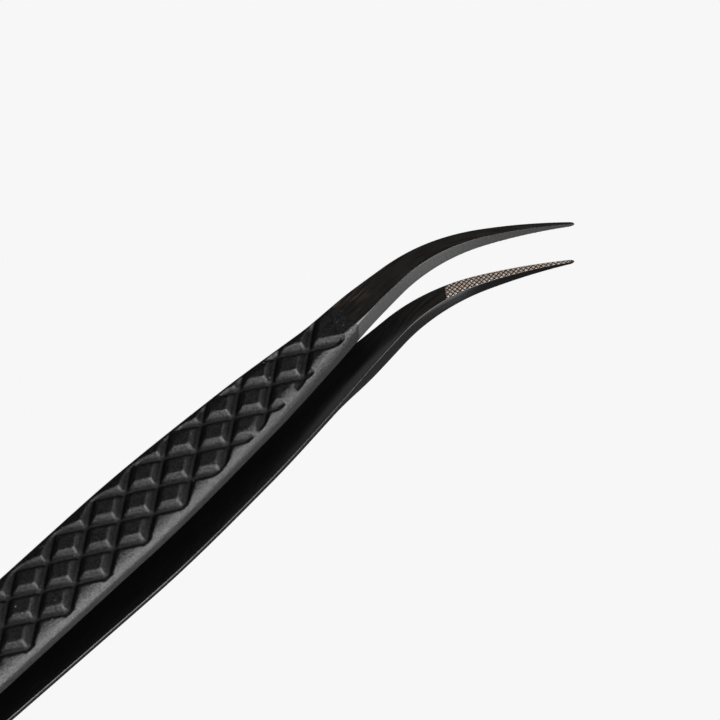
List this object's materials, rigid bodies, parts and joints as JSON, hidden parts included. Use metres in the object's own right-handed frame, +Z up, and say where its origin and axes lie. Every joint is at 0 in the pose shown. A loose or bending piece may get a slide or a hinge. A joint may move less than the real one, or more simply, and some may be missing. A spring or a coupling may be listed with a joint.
{
  "type": "curved precision tweezers",
  "caption": "Curved needle-point tweezers with sprung legs welded at the tail, a diamond-embossed grip and cross-hatched jaws.",
  "frame": {"origin": "centre of the bounding box in plan, on the surface that the tweezers lie on with their long edges", "axes": "+X from the tail to the points, +Y the pinch direction from the right leg to the left leg, +Z up; the points curve upwards"},
  "size_m": [0.1376, 0.0128, 0.0145],
  "materials": {
    "black_coating": "black coating on steel: matte fine-grained powder coat on the grip, satin at the front, glossy on the inner faces",
    "jaw_steel": "bare steel, finely cross-hatched",
    "weld_seam": "black-coated weld metal"
  },
  "bodies": {
    "tail": {"left_tang": "black_coating", "right_tang": "black_coating", "tail_weld": "weld_seam"},
    "left_arm": {"left_leg": "black_coating", "left_jaw_texture": "jaw_steel"},
    "right_arm": {"right_leg": "black_coating", "right_jaw_texture": "jaw_steel"}
  },
  "joints": [
    {"name": "left_leg_flex", "type": "hinge", "parent": "tail", "child": "left_arm", "pos_m": [-0.05877, 0.0009, 0.00495], "axis": [0, 0, -1], "range_deg": [0, 1.51], "stiffness_Nm_per_rad": 3.5},
    {"name": "right_leg_flex", "type": "hinge", "parent": "tail", "child": "right_arm", "pos_m": [-0.05877, -0.0009, 0.00495], "axis": [0, 0, 1], "range_deg": [0, 1.51], "stiffness_Nm_per_rad": 3.5}
  ],
  "couplings": [
    {"joint": "right_leg_flex", "follows": "left_leg_flex", "ratio": 1}
  ]
}
